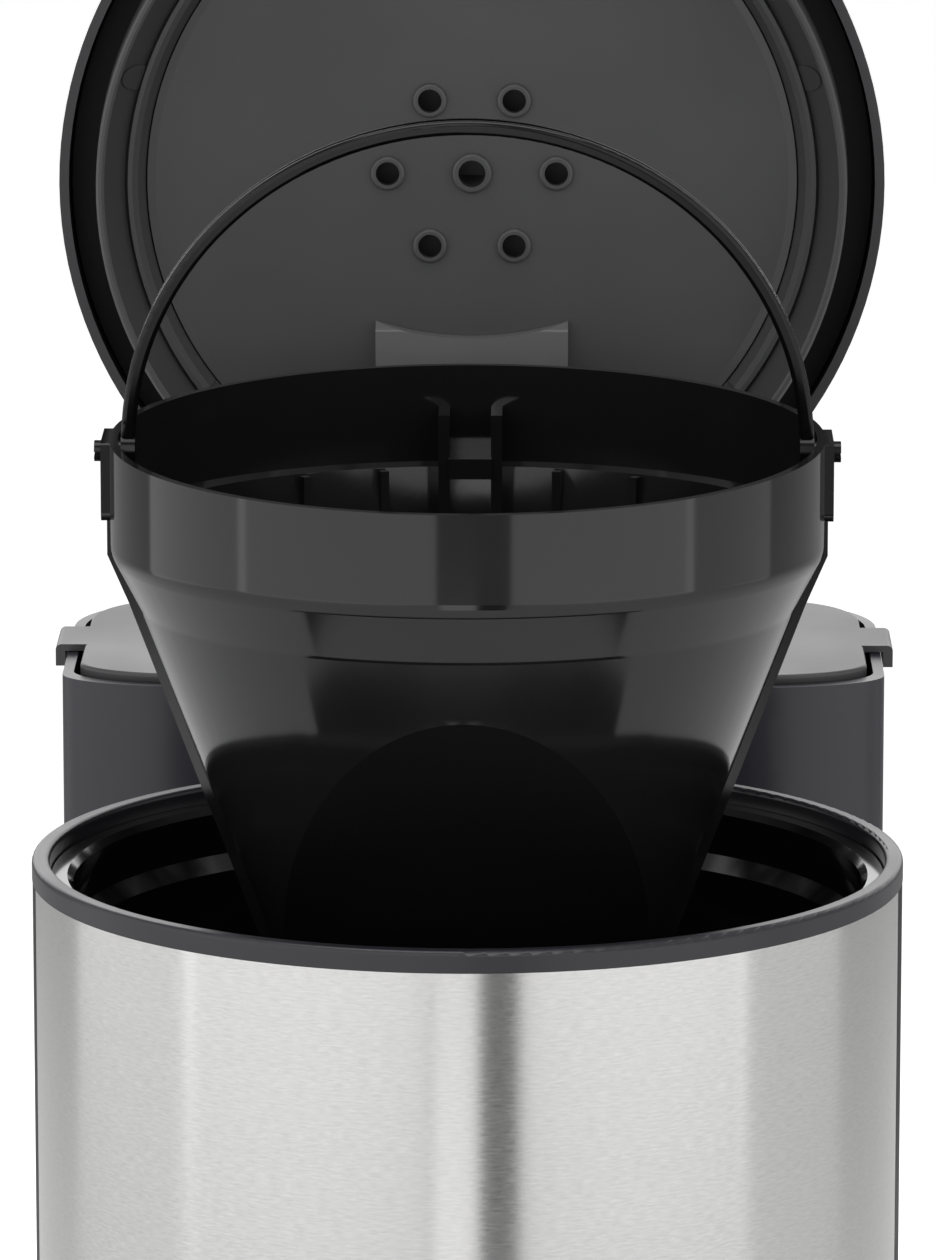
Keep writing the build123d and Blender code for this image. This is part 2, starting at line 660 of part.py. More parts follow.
def tank_valve():
    x, y = OUTLET
    valve = rod(2.0, TANK_FLOOR - 8, TANK_FLOOR + 8, x, y)
    valve += rod(6.6, TANK_FLOOR + 2.8, TANK_FLOOR + 4.6, x, y)
    return valve


def tank_valve_cage():
    x, y = OUTLET
    cage = tube(9.4, 7.6, TANK_FLOOR + 2.6, TANK_FLOOR + 18, x, y)
    cage += tube(9.4, 2.6, TANK_FLOOR + 16.4, TANK_FLOOR + 18, x, y)
    cage -= block(x - 12, x + 12, y - 2, y + 2, TANK_FLOOR + 5, TANK_FLOOR + 13)
    cage -= block(x - 2, x + 2, y - 12, y + 12, TANK_FLOOR + 5, TANK_FLOOR + 13)
    return cage


def tank_valve_spring():
    return wire_coil(4.4, 0.35, 2.6, 10.6, TANK_FLOOR + 5.1, *OUTLET)


def tank_lid():
    """The tank's plate, which lies inside the rim and hangs on two tabs over the sides."""
    top = TANK_RIM + TANK_LID_TOP
    plate = Pos(0, 0, TANK_RIM - 2.2) * extrude(tank_plan(TANK_WALL + 1.3), TANK_LID_TOP + 2.2)
    plate = fillet(plate.edges().group_by(Axis.Z)[-1], 0.7)
    tab = block(78.0, BODY_R + 2.6, 136.0, 152.0, TANK_RIM + 0.2, top)
    tab += block(BODY_R + 0.6, BODY_R + 2.6, 136.0, 152.0, TANK_RIM - 3.0, top)
    tab = fillet(tab.edges().filter_by(Axis.Y).group_by(Axis.Z)[-1].group_by(Axis.X)[-1], 1.2)
    return on_tilt(plate + both_sides(tab))


# Jug

def jug_glass():
    foot = JUG_FOOT
    wall = 2.0
    outside = [(0, foot + 1.2), (44, foot + 1.2), (48, foot), (56, foot + 0.6)]
    line = Polyline(*[(r, z) for r, z in outside])
    belly = Spline((56, foot + 0.6), (JUG_R, 70), (JUG_R - 3, 108), (JUG_NECK, 146),
                   tangents=[(1, 0.5), (-0.15, 1)])
    neck = Line((JUG_NECK, 146), (JUG_NECK, JUG_MOUTH_Z))
    outer = make_face([line, belly, neck, Line((JUG_NECK, JUG_MOUTH_Z), (0, JUG_MOUTH_Z)),
                       Line((0, JUG_MOUTH_Z), (0, foot + 1.2))])
    inner_line = Line((0, foot + 3.4), (54, foot + 3.4))
    inner_belly = Spline((54, foot + 3.4), (JUG_R - wall, 70), (JUG_R - 3 - wall, 107),
                         (JUG_NECK - wall, 146), tangents=[(1, 0.6), (-0.15, 1)])
    inner_neck = Line((JUG_NECK - wall, 146), (JUG_NECK - wall, JUG_MOUTH_Z))
    inner = make_face([inner_line, inner_belly, inner_neck,
                       Line((JUG_NECK - wall, JUG_MOUTH_Z), (0, JUG_MOUTH_Z)),
                       Line((0, JUG_MOUTH_Z), (0, foot + 3.4))])
    return revolve(Plane.XZ * (outer - inner), Axis.Z)


def jug_band():
    band = tube(JUG_NECK + 1.4, JUG_NECK + 0.2, 148, 158)
    for z in (147.2, 157.8):
        band += tube(JUG_NECK + 2.0, JUG_NECK + 0.2, z, z + 1.0)
    return band - bar_y(1.6, -JUG_NECK - 3, -JUG_NECK + 1, 0, 153)


def jug_handle():
    """A closed-loop grip on the front of the jug, joined to the band at the neck."""
    outline = [(-48.2, 147.4), (-48.2, 158.6), (-84, 164), (-104, 158), (HANDLE_Y, 136), (HANDLE_Y, 92),
               (-112, 74), (-98, 72), (-92, 80)]
    inside = [(-100, 96), (-102, 130), (-90, 146), (-72, 147)]
    plan = make_face(Plane.YZ * Polyline(*outline, *inside, close=True))
    plan = fillet([v for v in plan.vertices() if v.Y < -60], 6.0)
    grip = Pos(-9, 0, 0) * extrude(plan, 18, dir=(1, 0, 0))
    rims = [e for face in grip.faces().filter_by(Axis.X) for e in face.edges() if e.center().Y < -55]
    grip = fillet(rims, 3.0)
    grip -= rod(JUG_NECK + 2.1, 140, 170)
    grip -= bar_y(1.6, -JUG_NECK - 12, -JUG_NECK, 0, 153)
    return grip - bar_y(2.7, -JUG_NECK - 60, -JUG_NECK - 7.9, 0, 153)


def band_screw():
    shank = bar_y(1.5, -JUG_NECK - 9.0, -JUG_NECK - 0.3, 0, 153)
    return shank + bar_y(2.6, -JUG_NECK - 10.0, -JUG_NECK - 8.0, 0, 153)


def jug_lid():
    """A lid that turns in the neck, with a dished middle that leads the coffee to a hole."""
    lid = turned((0, 178), (9, 178), (30, 186), (36, JUG_LID_TOP - 2), (38, JUG_LID_TOP),
                 (44, JUG_LID_TOP - 0.6), (49.5, JUG_LID_TOP - 8), (50.5, JUG_MOUTH_Z + 1.4),
                 (43.4, JUG_MOUTH_Z + 1.4), (43.4, 152), (41.2, 152), (41.2, JUG_MOUTH_Z + 4),
                 (46, JUG_LID_TOP - 10), (40, JUG_LID_TOP - 4.2), (30, 183.6), (9, 175.6), (0, 175.6))
    lid -= rod(2.4, 170, 182)
    for angle in (0, 90, 180, 270):
        lid -= rod(1.2, 170, 182, 6, 0).rotate(Axis.Z, angle)
    for angle in range(0, 360, 12):
        if 250 <= angle <= 290:
            continue
        rib = rod(1.0, JUG_MOUTH_Z + 2.4, JUG_LID_TOP - 9, 50.4, 0)
        lid += rib.rotate(Axis.Z, angle)
    return lid


PIECES = {
    "base_shell": base_shell, "base_cover": base_cover, "feet": feet, "base_screws": base_screws,
    "warming_plate": warming_plate, "plate_seal": plate_seal, "heater_tube": heater_tube,
    "thermostat": thermostat, "thermal_fuses": thermal_fuses, "circuit_board": circuit_board,
    "power_button": power_button, "light_ring": light_ring, "button_spring": button_spring,
    "cord_gland": cord_gland, "column_shell": column_shell, "back_cover": back_cover,
    "cover_screws": cover_screws, "spine": spine, "hinge_pins": hinge_pins,
    "tank_socket": tank_socket, "socket_seal": socket_seal, "inlet_hose": inlet_hose,
    "check_valve": check_valve, "riser_tube": riser_tube, "hose_clips": hose_clips,
    "water_spout": water_spout, "head_shell": head_shell, "steel_jacket": steel_jacket,
    "top_ring": top_ring, "funnel": funnel, "lid_cap": lid_cap, "lid_liner": lid_liner,
    "shower_plate": shower_plate, "channel_cover": channel_cover, "water_channel": water_channel,
    "inlet_seal": inlet_seal, "lid_screws": lid_screws, "basket": basket,
    "bail_handle": bail_handle, "drip_plunger": drip_plunger, "drip_seal": drip_seal,
    "drip_spring": drip_spring, "tank": tank, "tank_seal": tank_seal, "tank_valve": tank_valve,
    "tank_valve_cage": tank_valve_cage, "tank_valve_spring": tank_valve_spring,
    "tank_lid": tank_lid, "jug_glass": jug_glass, "jug_band": jug_band,
    "jug_handle": jug_handle, "band_screw": band_screw, "jug_lid": jug_lid,
}

for piece_name, make_piece in PIECES.items():
    save(piece_name, make_piece())
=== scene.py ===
import json
import math

import bpy
import bmesh
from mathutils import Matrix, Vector


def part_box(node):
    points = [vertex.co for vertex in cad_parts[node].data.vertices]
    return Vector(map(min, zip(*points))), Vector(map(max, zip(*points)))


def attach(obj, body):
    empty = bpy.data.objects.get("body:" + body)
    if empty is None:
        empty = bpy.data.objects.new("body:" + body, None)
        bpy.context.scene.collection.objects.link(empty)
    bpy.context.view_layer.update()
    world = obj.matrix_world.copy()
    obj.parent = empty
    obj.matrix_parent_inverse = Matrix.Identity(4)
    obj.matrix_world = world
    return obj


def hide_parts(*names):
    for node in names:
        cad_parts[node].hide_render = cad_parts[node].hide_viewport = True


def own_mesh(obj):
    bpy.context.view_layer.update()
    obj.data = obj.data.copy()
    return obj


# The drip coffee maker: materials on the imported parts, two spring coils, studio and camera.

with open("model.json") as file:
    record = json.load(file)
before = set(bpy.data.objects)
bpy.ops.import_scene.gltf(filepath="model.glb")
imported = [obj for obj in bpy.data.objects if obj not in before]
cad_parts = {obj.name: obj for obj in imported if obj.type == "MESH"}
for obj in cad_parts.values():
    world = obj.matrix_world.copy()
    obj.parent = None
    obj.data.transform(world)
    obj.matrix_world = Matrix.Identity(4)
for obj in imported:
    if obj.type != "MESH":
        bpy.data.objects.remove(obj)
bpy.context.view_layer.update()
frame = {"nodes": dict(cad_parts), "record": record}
nodes = frame["nodes"]

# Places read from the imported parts, in metres.
ring_low, ring_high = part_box("top_ring")
RING_TOP = ring_high.z
AXIS_Y = (ring_low.y + ring_high.y) / 2

# Sizes that go with the parts, in metres.
SKIRT_R = 0.0742           # outside of the lid's skirt
GROOVE_SHADE_EDGE = 0.0006        # width over which the painted shade in the groove outside it fades in

# Levels between which a noise's middle values are spread out.
NOISE_LOW = 0.3
NOISE_HIGH = 0.7

# Noise scales of the plastic's grain and of the metal's scratches, and how strongly scratches show.
GRAIN_SCALE = 2600.0
SCRATCH_SCALE = 700.0
SCRATCH = 0.1

# Heights of the small reliefs that bump maps stand for, in metres.
GRAIN_HEIGHT = 0.00006
WAVE_HEIGHT = 0.0003
BRUSH_HEIGHT = 0.00003
SCRATCH_HEIGHT = 0.00005
PEEL_HEIGHT = 0.00008
GLASS_WAVE_HEIGHT = 0.0004

# Brush lines, as a scale round the axis and one up it, and the slower bands among them.
BRUSH_LINES = (34.0, 1.0, 2600.0)
BRUSH_BANDS = (1.6, 1.0, 320.0)


# Node helpers

def new_material(name):
    mat = bpy.data.materials.new(name)
    mat.use_nodes = True
    return mat, mat.node_tree, mat.node_tree.nodes["Principled BSDF"]


def add(tree, kind, **values):
    node = tree.nodes.new(kind)
    for key, value in values.items():
        if key in node.inputs:
            node.inputs[key].default_value = value
        else:
            setattr(node, key, value)
    return node


def coords(tree, scale=(1, 1, 1)):
    place = add(tree, "ShaderNodeTexCoord")
    mapping = add(tree, "ShaderNodeMapping")
    mapping.inputs["Scale"].default_value = scale
    tree.links.new(place.outputs["Object"], mapping.inputs["Vector"])
    return mapping.outputs["Vector"]


def noise(tree, vector, scale, detail=4.0, rough=0.55):
    node = add(tree, "ShaderNodeTexNoise", Scale=scale, Detail=detail, Roughness=rough)
    tree.links.new(vector, node.inputs["Vector"])
    return node.outputs["Fac"]


def span(tree, factor, low, high, from_low=0.0, from_high=1.0):
    node = add(tree, "ShaderNodeMapRange")
    node.inputs["From Min"].default_value = from_low
    node.inputs["From Max"].default_value = from_high
    node.inputs["To Min"].default_value = low
    node.inputs["To Max"].default_value = high
    tree.links.new(factor, node.inputs["Value"])
    return node.outputs["Result"]


def two_tone(tree, factor, dark, light, low=0.0, high=1.0):
    ramp = add(tree, "ShaderNodeValToRGB")
    ramp.color_ramp.elements[0].position = low
    ramp.color_ramp.elements[0].color = (*dark, 1)
    ramp.color_ramp.elements[1].position = high
    ramp.color_ramp.elements[1].color = (*light, 1)
    tree.links.new(factor, ramp.inputs["Fac"])
    return ramp.outputs["Color"]


def bump(tree, height, strength, distance):
    node = add(tree, "ShaderNodeBump", Strength=strength, Distance=distance)
    tree.links.new(height, node.inputs["Height"])
    return node.outputs["Normal"]


def shade(color, factor):
    return tuple(channel * factor for channel in color)


# Materials

def moulded(name, color, rough, grain=0.15, vary=0.12, specular=0.5):
    """Injection-moulded plastic: a fine eroded grain, faint flow clouds and uneven gloss."""
    mat, tree, bsdf = new_material(name)
    place = coords(tree)
    clouds = noise(tree, place, 26.0, 3.0)
    grains = noise(tree, place, GRAIN_SCALE, 2.0, 0.6)
    tree.links.new(two_tone(tree, clouds, shade(color, 1 - vary), shade(color, 1 + vary),
                            NOISE_LOW, NOISE_HIGH), bsdf.inputs["Base Color"])
    tree.links.new(span(tree, clouds, rough * 0.9, rough * 1.12, NOISE_LOW, NOISE_HIGH),
                   bsdf.inputs["Roughness"])
    tree.links.new(bump(tree, grains, grain, GRAIN_HEIGHT), bsdf.inputs["Normal"])
    bsdf.inputs["Specular IOR Level"].default_value = specular
    return mat


def polished(name, color, rough, wave=0.05, specular=0.5):
    """Glossy plastic with the slow waviness and faint haze of a moulded shell."""
    mat, tree, bsdf = new_material(name)
    place = coords(tree)
    slow = noise(tree, place, 18.0, 2.0)
    haze = noise(tree, place, 900.0, 3.0)
    tree.links.new(two_tone(tree, slow, shade(color, 0.9), shade(color, 1.1), NOISE_LOW, NOISE_HIGH),
                   bsdf.inputs["Base Color"])
    tree.links.new(span(tree, haze, rough * 0.92, rough * 1.1, NOISE_LOW, NOISE_HIGH),
                   bsdf.inputs["Roughness"])
    tree.links.new(bump(tree, slow, wave, WAVE_HEIGHT), bsdf.inputs["Normal"])
    bsdf.inputs["Specular IOR Level"].default_value = specular
    return mat


def brushed(name, color, rough, line):
    """Brushed metal, with brush lines that run round the machine's axis."""
    mat, tree, bsdf = new_material(name)
    place = add(tree, "ShaderNodeTexCoord")
    split = add(tree, "ShaderNodeSeparateXYZ")
    tree.links.new(place.outputs["Object"], split.inputs["Vector"])
    join = add(tree, "ShaderNodeCombineXYZ")
    ahead = add(tree, "ShaderNodeMath", operation="SUBTRACT")
    ahead.inputs[0].default_value = AXIS_Y
    tree.links.new(split.outputs["Y"], ahead.inputs[1])
    angle = add(tree, "ShaderNodeMath", operation="ARCTAN2")
    tree.links.new(split.outputs["X"], angle.inputs[0])
    tree.links.new(ahead.outputs[0], angle.inputs[1])
    tree.links.new(angle.outputs[0], join.inputs["X"])
    tree.links.new(split.outputs["Z"], join.inputs["Z"])
    stretch = add(tree, "ShaderNodeMapping")
    stretch.inputs["Scale"].default_value = BRUSH_LINES
    tree.links.new(join.outputs["Vector"], stretch.inputs["Vector"])
    lines = noise(tree, stretch.outputs["Vector"], 1.0, 6.0, 0.7)
    broad = add(tree, "ShaderNodeMapping")
    broad.inputs["Scale"].default_value = BRUSH_BANDS
    tree.links.new(join.outputs["Vector"], broad.inputs["Vector"])
    bands = noise(tree, broad.outputs["Vector"], 1.0, 3.0, 0.6)
    mixed = add(tree, "ShaderNodeMath", operation="ADD")
    soft_bands = span(tree, bands, 0.46, 0.54)
    tree.links.new(lines, mixed.inputs[0])
    tree.links.new(soft_bands, mixed.inputs[1])
    both = span(tree, mixed.outputs[0], 0.0, 1.0, 0.7, 1.3)
    tree.links.new(two_tone(tree, both, shade(color, 1 - line * 0.35), shade(color, 1 + line * 0.3)),
                   bsdf.inputs["Base Color"])
    tree.links.new(span(tree, both, rough * 0.85, rough * 1.2), bsdf.inputs["Roughness"])
    tree.links.new(bump(tree, lines, line * 0.22, BRUSH_HEIGHT), bsdf.inputs["Normal"])
    tangent = add(tree, "ShaderNodeTangent", direction_type="RADIAL", axis="Z")
    tree.links.new(tangent.outputs["Tangent"], bsdf.inputs["Tangent"])
    bsdf.inputs["Metallic"].default_value = 1.0
    bsdf.inputs["Anisotropic"].default_value = 0.85
    bsdf.inputs["Anisotropic Rotation"].default_value = 0.25
    return mat


def bare_metal(name, color, rough):
    """Plain machined or plated metal with fine random scratches."""
    mat, tree, bsdf = new_material(name)
    place = coords(tree, (1, 1, 6))
    marks = noise(tree, place, SCRATCH_SCALE, 5.0, 0.7)
    tree.links.new(two_tone(tree, marks, shade(color, 0.85), shade(color, 1.05), NOISE_LOW, NOISE_HIGH),
                   bsdf.inputs["Base Color"])
    tree.links.new(span(tree, marks, rough * 0.8, rough * 1.3, NOISE_LOW, NOISE_HIGH),
                   bsdf.inputs["Roughness"])
    tree.links.new(bump(tree, marks, SCRATCH, SCRATCH_HEIGHT), bsdf.inputs["Normal"])
    bsdf.inputs["Metallic"].default_value = 1.0
    return mat


def coated_plate(name):
    """Non-stick coating: dark, with a fine orange-peel texture and tiny pale flecks."""
    mat, tree, bsdf = new_material(name)
    place = coords(tree)
    peel = noise(tree, place, 1400.0, 3.0)
    cells = add(tree, "ShaderNodeTexVoronoi", Scale=900.0)
    tree.links.new(place, cells.inputs["Vector"])
    flecks = span(tree, cells.outputs["Distance"], 1.0, 0.0, 0.0, 0.16)
    tree.links.new(two_tone(tree, flecks, (0.016, 0.016, 0.018), (0.09, 0.09, 0.092), 0.55, 0.95),
                   bsdf.inputs["Base Color"])
    bsdf.inputs["Roughness"].default_value = 0.38
    tree.links.new(bump(tree, peel, 0.35, PEEL_HEIGHT), bsdf.inputs["Normal"])
    return mat


def clear_glass(name):
    """Clear glass with a slow waviness and a faint haze."""
    mat, tree, bsdf = new_material(name)
    place = coords(tree)
    slow = noise(tree, place, 30.0, 2.0)
    tree.links.new(span(tree, slow, 0.0, 0.03, NOISE_LOW, NOISE_HIGH), bsdf.inputs["Roughness"])
    tree.links.new(bump(tree, slow, 0.05, GLASS_WAVE_HEIGHT), bsdf.inputs["Normal"])
    bsdf.inputs["Base Color"].default_value = (0.93, 0.96, 0.955, 1)
    bsdf.inputs["Transmission Weight"].default_value = 1.0
    bsdf.inputs["IOR"].default_value = 1.47
    return mat


def milky_ring(name):
    """The milky plastic ring round the button, which a lamp would shine through."""
    mat, tree, bsdf = new_material(name)
    place = coords(tree)
    soft = noise(tree, place, 300.0, 2.0)
    tree.links.new(two_tone(tree, soft, (0.62, 0.64, 0.67), (0.74, 0.76, 0.79)), bsdf.inputs["Base Color"])
    bsdf.inputs["Roughness"].default_value = 0.3
    bsdf.inputs["Subsurface Weight"].default_value = 0.2
    bsdf.inputs["Subsurface Radius"].default_value = (0.002, 0.002, 0.002)
    return mat


def circuit(name):
    """A green board with paler tracks between its fields."""
    mat, tree, bsdf = new_material(name)
    place = coords(tree)
    bricks = add(tree, "ShaderNodeTexBrick", Scale=260.0)
    tree.links.new(place, bricks.inputs["Vector"])
    bricks.inputs["Color1"].default_value = (0.012, 0.09, 0.035, 1)
    bricks.inputs["Color2"].default_value = (0.016, 0.12, 0.045, 1)
    bricks.inputs["Mortar"].default_value = (0.05, 0.2, 0.09, 1)
    tree.links.new(bricks.outputs["Color"], bsdf.inputs["Base Color"])
    bsdf.inputs["Roughness"].default_value = 0.35
    return mat


def lid_ring_painted_shade(name, color, rough):
    """The lid's inner ring: satin like the plate, with painted shade that turns it near black in the groove
    outside the skirt.
    """
    mat = moulded(name, color, rough, grain=0.05, vary=0.05)
    tree = mat.node_tree
    bsdf = tree.nodes["Principled BSDF"]
    low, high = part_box("lid_cap")
    middle = high.z - (high.x - low.x) / 2
    place = add(tree, "ShaderNodeTexCoord")
    split = add(tree, "ShaderNodeSeparateXYZ")
    tree.links.new(place.outputs["Object"], split.inputs["Vector"])
    drop = add(tree, "ShaderNodeMath", operation="SUBTRACT")
    tree.links.new(split.outputs["Z"], drop.inputs[0])
    drop.inputs[1].default_value = middle
    flat = add(tree, "ShaderNodeCombineXYZ")
    tree.links.new(split.outputs["X"], flat.inputs["X"])
    tree.links.new(drop.outputs[0], flat.inputs["Y"])
    reach = add(tree, "ShaderNodeVectorMath", operation="LENGTH")
    tree.links.new(flat.outputs["Vector"], reach.inputs[0])
    # Painted shade: past the skirt's radius the ring turns near black and loses its gloss, standing in for
    # the shadow in the groove.
    groove_shade_mask = span(tree, reach.outputs["Value"], 0.0, 1.0, SKIRT_R, SKIRT_R + GROOVE_SHADE_EDGE)
    shaded_color = add(tree, "ShaderNodeMixRGB")
    before = bsdf.inputs["Base Color"].links[0].from_socket
    tree.links.new(groove_shade_mask, shaded_color.inputs["Fac"])
    tree.links.new(before, shaded_color.inputs["Color1"])
    # The colour of the painted shade in the groove.
    shaded_color.inputs["Color2"].default_value = (0.0012, 0.0012, 0.0012, 1)
    tree.links.new(shaded_color.outputs["Color"], bsdf.inputs["Base Color"])
    tree.links.new(span(tree, groove_shade_mask, rough, 0.95), bsdf.inputs["Roughness"])
    return mat


GREY = (0.034, 0.033, 0.037)
looks = {
    "casing": moulded("casing", GREY, 0.42),
    "casing_plain": moulded("casing_plain", shade(GREY, 0.8), 0.55, grain=0.3),
    "rubber": moulded("rubber", (0.018, 0.018, 0.019), 0.75, grain=0.4, specular=0.3),
    "steel": bare_metal("steel", (0.56, 0.56, 0.58), 0.25),
    "plate_black": coated_plate("plate_black"),
    "aluminium": bare_metal("aluminium", (0.72, 0.72, 0.74), 0.35),
    "chrome": bare_metal("chrome", (0.7, 0.7, 0.72), 0.18),
    "board": circuit("board"),
    "light_ring": milky_ring("light_ring"),
    "black_plain": moulded("black_plain", (0.016, 0.016, 0.018), 0.4),
    "silicone": moulded("silicone", (0.5, 0.49, 0.47), 0.5, grain=0.1),
    "trim_black": moulded("trim_black", (0.010, 0.010, 0.011), 0.3, grain=0.08),
    "brushed_steel": brushed("brushed_steel", (0.62, 0.617, 0.61), 0.21, line=0.6),
    "ring_grey": moulded("ring_grey", (0.017, 0.016, 0.021), 0.34, grain=0.08),
    "gloss_black": polished("gloss_black", (0.006, 0.006, 0.0065), 0.10),
    "lid_grey": moulded("lid_grey", shade(GREY, 0.7), 0.38, grain=0.1),
    "lid_inner": moulded("lid_inner", (0.050, 0.050, 0.051), 0.32, grain=0.05, vary=0.05),
    "basket_black": polished("basket_black", (0.008, 0.008, 0.0085), 0.09, wave=0.03),
    "bail_black": polished("bail_black", (0.003, 0.003, 0.0033), 0.17, specular=0.3),
    "tank_smoke": moulded("tank_smoke", (0.022, 0.020, 0.028), 0.30, grain=0.05),
    "tank_lid_grey": moulded("tank_lid_grey", (0.055, 0.054, 0.057), 0.38, grain=0.18),
    "glass": clear_glass("glass"),
    "jug_plastic": moulded("jug_plastic", (0.014, 0.014, 0.015), 0.32, grain=0.08),
}

# Pieces whose look departs from that of their slot.
special = {
    # The lid liner's ring carries painted shade in the groove outside the skirt.
    "lid_liner": lid_ring_painted_shade("lid_ring_painted_shade", (0.044, 0.044, 0.045), 0.32),
    "head_shell": moulded("head_black", (0.006, 0.006, 0.0065), 0.45, specular=0.1),
    "channel_cover": moulded("cover_satin", (0.115, 0.115, 0.117), 0.38, grain=0.05, vary=0.04),
}
slot_of = {entry["node"]: entry["material_slot"] for entry in frame["record"]["subparts"]}
for name, obj in nodes.items():
    material = looks[slot_of[name]]
    if not obj.material_slots:
        obj.data.materials.append(material)
    for holder in obj.material_slots:
        holder.material = special.get(name, material)


# Springs: each CAD spring is swapped for a coil with its own mesh, attached to a body.

scene = bpy.context.scene


def spring_coil(node, body):
    """A coil in the place of a CAD spring, since a CAD mesh can't change its shape at a pose."""
    coil = bpy.data.objects.new(node + "_coil", nodes[node].data.copy())
    scene.collection.objects.link(coil)
    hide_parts(node)
    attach(coil, body)
    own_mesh(coil)


spring_coil("drip_spring", "basket")
spring_coil("tank_valve_spring", "tank")


# Studio

scene.view_settings.view_transform = "Standard"

STUDIO_LEVEL = 0.32        # the studio's light on everything but the camera's view
FLOOR_R = 6.0
FLOOR_STEPS = 64
FLOOR_GLOW = 0.72          # lifts the floor to white where the camera sees it
SHADE_INNER, SHADE_OUTER = 0.27, 0.36
SHADE_STEPS = 96
SHADE_HALF_ANGLE = 62      # degrees either side of the front
SHADE_WIDEN = 1.22         # stretch along X
SHADE_LIFT, STRIP_LIFT = 0.0004, 0.0006
STRIP_NEAR, STRIP_FAR = 0.75, 2.0


def build_world():
    """White where the camera looks past everything, a dimmer studio wall for the light."""
    world = bpy.data.worlds.new("studio")
    scene.world = world
    world.use_nodes = True
    tree = world.node_tree
    tree.nodes.clear()
    out = tree.nodes.new("ShaderNodeOutputWorld")
    seen = add(tree, "ShaderNodeBackground", Color=(1, 1, 1, 1), Strength=1.0)
    felt = add(tree, "ShaderNodeBackground", Color=(1, 1, 1, 1), Strength=STUDIO_LEVEL)
    path = tree.nodes.new("ShaderNodeLightPath")
    mix = tree.nodes.new("ShaderNodeMixShader")
    tree.links.new(path.outputs["Is Camera Ray"], mix.inputs["Fac"])
    tree.links.new(felt.outputs["Background"], mix.inputs[1])
    tree.links.new(seen.outputs["Background"], mix.inputs[2])
    tree.links.new(mix.outputs["Shader"], out.inputs["Surface"])


def build_floor():
    """A round sheet of white paper, glowing only for the camera."""
    mat, tree, bsdf = new_material("floor_paper")
    place = coords(tree)
    fibre = noise(tree, place, 60.0, 4.0)
    tree.links.new(two_tone(tree, fibre, (0.80, 0.80, 0.80), (0.84, 0.84, 0.84)), bsdf.inputs["Base Color"])
    bsdf.inputs["Roughness"].default_value = 0.7
    glow = add(tree, "ShaderNodeEmission", Color=(1, 1, 1, 1), Strength=FLOOR_GLOW)
    path = tree.nodes.new("ShaderNodeLightPath")
    both = tree.nodes.new("ShaderNodeAddShader")
    mix = tree.nodes.new("ShaderNodeMixShader")
    tree.links.new(bsdf.outputs["BSDF"], both.inputs[0])
    tree.links.new(glow.outputs["Emission"], both.inputs[1])
    tree.links.new(path.outputs["Is Camera Ray"], mix.inputs["Fac"])
    tree.links.new(bsdf.outputs["BSDF"], mix.inputs[1])
    tree.links.new(both.outputs["Shader"], mix.inputs[2])
    tree.links.new(mix.outputs["Shader"], tree.nodes["Material Output"].inputs["Surface"])
    mesh = bpy.data.meshes.new("floor")
    work = bmesh.new()
    bmesh.ops.create_circle(work, cap_ends=True, radius=FLOOR_R, segments=FLOOR_STEPS)
    work.to_mesh(mesh)
    work.free()
    floor = bpy.data.objects.new("floor", mesh)
    scene.collection.objects.link(floor)
    mesh.materials.append(mat)


def build_table_shade():
    """A dark ring of card on the table round the machine, seen only in reflections."""
    mat, tree, bsdf = new_material("table_shade")
    place = coords(tree)
    cloth = noise(tree, place, 40.0, 3.0)
    tree.links.new(two_tone(tree, cloth, (0.004, 0.004, 0.004), (0.007, 0.007, 0.007)),
                   bsdf.inputs["Base Color"])
    bsdf.inputs["Roughness"].default_value = 0.9
    bsdf.inputs["Specular IOR Level"].default_value = 0.0
    mesh = bpy.data.meshes.new("table_shade")
    work = bmesh.new()
    inner = bmesh.ops.create_circle(work, radius=SHADE_INNER, segments=SHADE_STEPS)["verts"]
    outer = bmesh.ops.create_circle(work, radius=SHADE_OUTER, segments=SHADE_STEPS)["verts"]
    for k in range(SHADE_STEPS):
        n = (k + 1) % SHADE_STEPS
        middle = outer[k].co + outer[n].co
        if abs(math.atan2(middle.x, -middle.y)) < math.radians(SHADE_HALF_ANGLE):
            work.faces.new((inner[k], outer[k], outer[n], inner[n]))
    work.to_mesh(mesh)
    work.free()
    board = bpy.data.objects.new("table_shade", mesh)
    scene.collection.objects.link(board)
    board.location = (0.0, AXIS_Y, SHADE_LIFT)
    board.scale = (SHADE_WIDEN, 1.0, 1.0)
    mesh.materials.append(mat)
    reflection_only(board)


def floor_strip(name, from_azimuth, to_azimuth, level):
    """A strip of card on the table in front, between two azimuths, seen only in reflections."""
    mat = bpy.data.materials.new(name)
    mat.use_nodes = True
    tree = mat.node_tree
    place = coords(tree)
    paper = noise(tree, place, 50.0, 2.0)
    glow = add(tree, "ShaderNodeEmission")
    tree.links.new(two_tone(tree, paper, (0.9, 0.9, 0.9), (1.0, 1.0, 1.0)), glow.inputs["Color"])
    glow.inputs["Strength"].default_value = level
    tree.links.new(glow.outputs["Emission"], tree.nodes["Material Output"].inputs["Surface"])
    corners = [around_axis(from_azimuth, STRIP_NEAR, STRIP_LIFT),
               around_axis(to_azimuth, STRIP_NEAR, STRIP_LIFT),
               around_axis(to_azimuth, STRIP_FAR, STRIP_LIFT),
               around_axis(from_azimuth, STRIP_FAR, STRIP_LIFT)]
    mesh = bpy.data.meshes.new(name)
    mesh.from_pydata(corners, [], [(0, 1, 2, 3)])
    card = bpy.data.objects.new(name, mesh)
    scene.collection.objects.link(card)
    mesh.materials.append(mat)
    reflection_only(card)


def reflection_only(obj):
    """Hide an object from everything but glossy rays."""
    obj.visible_camera = False
    obj.visible_diffuse = False
    obj.visible_shadow = False
    obj.visible_transmission = False


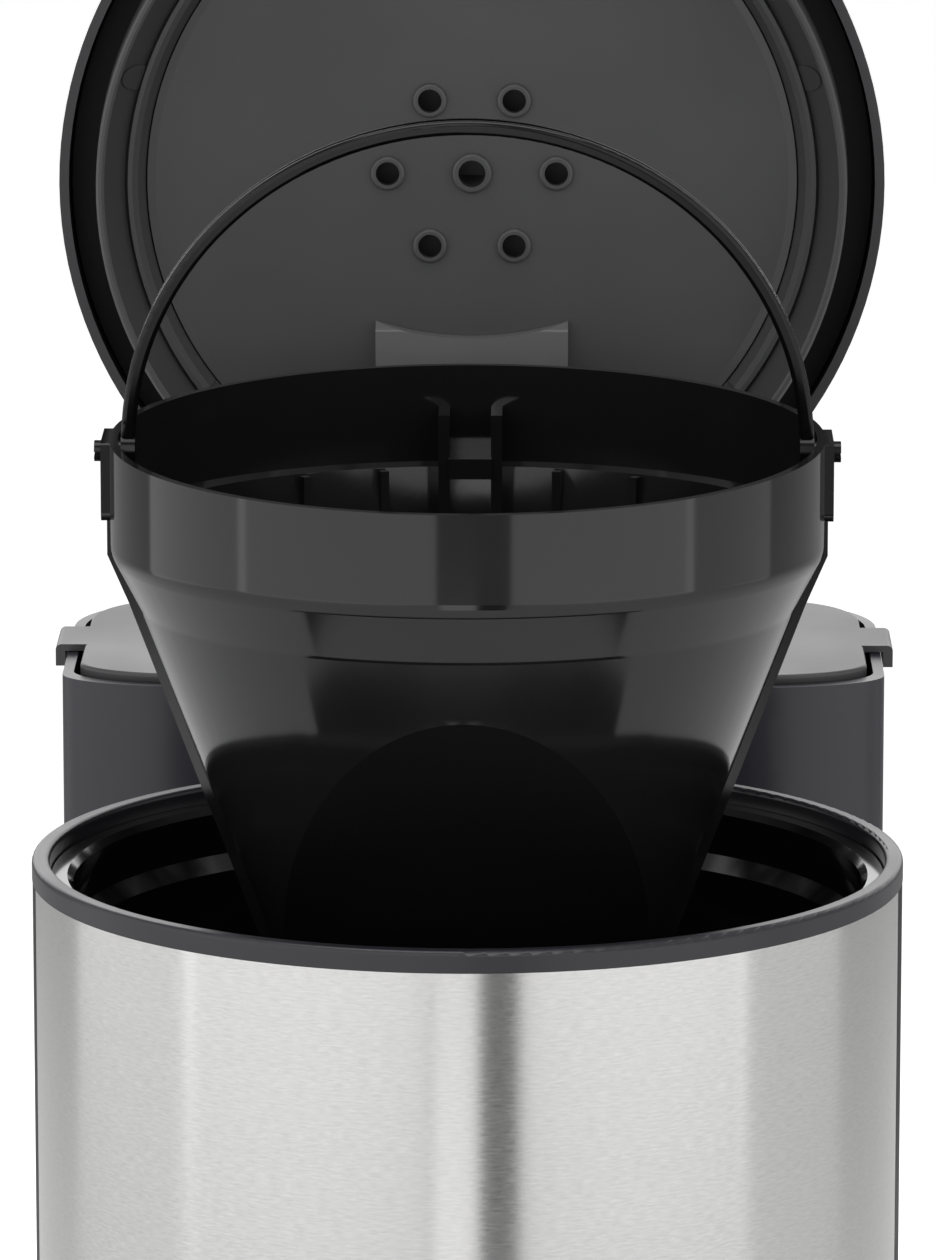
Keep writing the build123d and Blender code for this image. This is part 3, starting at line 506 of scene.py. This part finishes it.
def soft_light(name, place, target, width, height, power):
    """A rectangular soft box at one place, facing another."""
    data = bpy.data.lights.new(name, "AREA")
    data.shape = "RECTANGLE"
    data.size = width
    data.size_y = height
    data.energy = power
    lamp = bpy.data.objects.new(name, data)
    scene.collection.objects.link(lamp)
    lamp.location = place
    lamp.rotation_euler = (Vector(target) - Vector(place)).to_track_quat("-Z", "Y").to_euler()
    lamp.visible_camera = False
    return lamp


def around_axis(azimuth, distance, height):
    """A point about the brew axis: azimuth 0 is straight ahead of the front, positive to the right."""
    a = math.radians(azimuth)
    return Vector((distance * math.sin(a), AXIS_Y - distance * math.cos(a), height))


def wall_light(name, from_azimuth, to_azimuth, distance, height, tall, power):
    """An upright soft box whose ends stand at two azimuths about the brew axis."""
    a = around_axis(from_azimuth, distance, height)
    b = around_axis(to_azimuth, distance, height)
    middle = (a + b) / 2
    target = Vector((0, AXIS_Y, height))
    return soft_light(name, middle, target, (b - a).length, tall, power)


build_world()
build_floor()

# Soft boxes: two azimuths, then distance, middle height, tallness and power.
wall_light("left_box", -76, -9, 1.5, 0.75, 1.7, 8.5)
wall_light("left_far_box", -120, -73, 1.56, 0.75, 1.7, 5.0)
wall_light("right_box", 14, 76, 1.5, 0.75, 1.7, 8)
wall_light("right_far_box", 73, 112, 1.56, 0.75, 1.7, 2.4)
wall_light("centre_strip", -9, 3, 1.6, 1.35, 1.5, 2.5)
wall_light("rear_box", 148, 212, 1.6, 0.85, 0.9, 8)

# Strips: two azimuths, then brightness.
floor_strip("bright_strip", -8.0, 3.5, 1.7)
floor_strip("dark_strip", 3.5, 13.0, 0.02)
build_table_shade()
soft_light("top_box", (0.0, AXIS_Y - 0.1, 1.9), (0.0, AXIS_Y, 0.4), 1.4, 1.0, 12)


# Camera: without roll or shift, looking down at the lifted basket.

CAMERA_BACK = 1.3957       # in front of the brew axis
CAMERA_UP = 0.3090         # above the ring
CAMERA_RIGHT = 0.014       # right of the brew axis
AIM_RIGHT = 0.0001         # where it aims, right of the brew axis
CAMERA_PITCH = 10.787      # degrees down
LENS = 214.25
SENSOR = 36.0
data = bpy.data.cameras.new("camera")
data.sensor_width = SENSOR
data.lens = LENS
camera = bpy.data.objects.new("camera", data)
scene.collection.objects.link(camera)
camera.location = (CAMERA_RIGHT, AXIS_Y - CAMERA_BACK, RING_TOP + CAMERA_UP)
camera_yaw = math.atan2(CAMERA_RIGHT - AIM_RIGHT, CAMERA_BACK)
camera.rotation_euler = (math.radians(90 - CAMERA_PITCH), 0, camera_yaw)
scene.camera = camera
